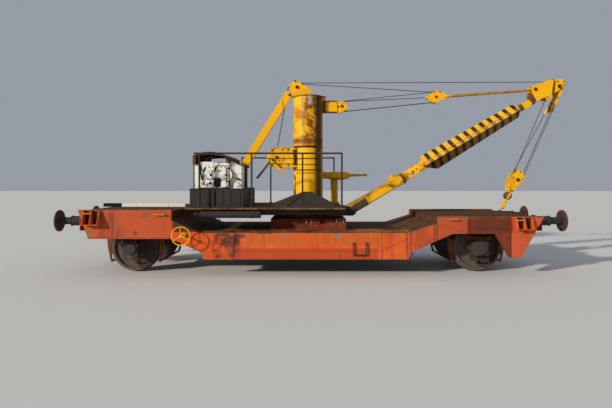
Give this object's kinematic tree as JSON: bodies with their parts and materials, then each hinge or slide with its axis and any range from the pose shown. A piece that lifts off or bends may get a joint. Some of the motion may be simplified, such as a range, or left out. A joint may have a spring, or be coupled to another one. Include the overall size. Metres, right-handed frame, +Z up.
{
  "type": "railway crane car",
  "caption": "Two-axle well wagon with a slewing boom crane: column, winch, engine, railed platform, striped boom and hook block stowed over the end deck.",
  "frame": {"origin": "on the floor under the middle of the whole length, at the level of the wheel flange tips", "axes": "+X along the wagon towards the boom head, +Y across it to the far side, +Z up"},
  "size_m": [11.12, 3.292, 4.2328],
  "materials": {
    "orange_paint": "weathered orange paint with rust",
    "deck_steel": "rusty bare deck plate",
    "yellow_paint": "weathered yellow paint with rust streaks",
    "hazard_paint": "black and yellow stripes",
    "dark_paint": "dark grey paint",
    "brown_tube": "dark brown rusty paint",
    "white_paint": "dirty white paint",
    "rust_sheet": "rusty sheet",
    "wheel_steel": "rolled steel with brake dust",
    "cast_grey": "grey casting",
    "wire_rope": "greasy steel wire rope",
    "rust_iron": "rusty forging"
  },
  "bodies": {
    "wagon": {"side_girder_near": "orange_paint", "side_girder_far": "orange_paint", "well_floor": "deck_steel", "well_sills": "dark_paint", "well_bearers": "dark_paint", "deck_left": "deck_steel", "deck_right": "deck_steel", "solebars": "dark_paint", "deck_bearers": "dark_paint", "end_beam_left": "orange_paint", "end_beam_right": "orange_paint", "buffers_left": "dark_paint", "buffers_right": "dark_paint", "draw_gear_left": "rust_iron", "draw_gear_right": "rust_iron", "axle_guards": "rust_iron", "axle_boxes": "cast_grey", "leaf_springs": "rust_iron", "brake_gear": "rust_iron", "handbrake_wheels": "yellow_paint", "post_pockets": "orange_paint", "steps_and_handles": "dark_paint", "stowed_beam": "white_paint", "slew_base": "orange_paint"},
    "wheelset_left": {"wheelset_left": "wheel_steel"},
    "wheelset_right": {"wheelset_right": "wheel_steel"},
    "turntable": {"platform": "deck_steel", "platform_frame": "dark_paint", "platform_tank": "dark_paint", "column": "yellow_paint", "column_skirt": "dark_paint", "column_head": "yellow_paint", "backstay": "yellow_paint", "stay_pillar": "dark_paint", "luff_arm": "yellow_paint", "engine_bed": "dark_paint", "engine": "white_paint", "engine_hood": "rust_sheet", "winch": "yellow_paint", "railing_near": "brown_tube", "railing_far": "brown_tube", "slew_pedestal": "yellow_paint", "boom_brackets": "dark_paint", "luffing_ropes": "wire_rope", "hoist_lead": "wire_rope"},
    "boom": {"boom_lower": "yellow_paint", "boom_middle": "hazard_paint", "boom_head": "yellow_paint", "hoist_falls": "wire_rope"},
    "tackle": {"luff_tackle": "yellow_paint"},
    "hook_block": {"hook_block": "yellow_paint", "crane_hook": "yellow_paint"}
  },
  "joints": [
    {"name": "axle_left", "type": "hinge", "parent": "wagon", "child": "wheelset_left", "pos_m": [-3.96, 0, 0.528], "axis": [0, 1, 0], "continuous": true},
    {"name": "axle_right", "type": "hinge", "parent": "wagon", "child": "wheelset_right", "pos_m": [3.28, 0, 0.528], "axis": [0, 1, 0], "continuous": true},
    {"name": "slew", "type": "hinge", "parent": "wagon", "child": "turntable", "pos_m": [-0.29, 0, 1.158], "axis": [0, 0, 1], "range_deg": [-150, 150]},
    {"name": "boom_luff", "type": "hinge", "parent": "turntable", "child": "boom", "pos_m": [0.66, 0, 1.253], "axis": [0, -1, 0], "range_deg": [0, 40], "deforming": ["luffing_ropes", "hoist_lead"]},
    {"name": "tackle_swing", "type": "hinge", "parent": "boom", "child": "tackle", "pos_m": [4.845, 0, 4.003], "axis": [0, -1, 0], "range_deg": [0, 11.4]},
    {"name": "hoist", "type": "slide", "parent": "boom", "child": "hook_block", "axis": [0.4067, 0, 0.9135], "range_m": [0, 1.1]}
  ],
  "couplings": [
    {"joint": "tackle_swing", "follows": "boom_luff", "ratio": 0.2825}
  ]
}
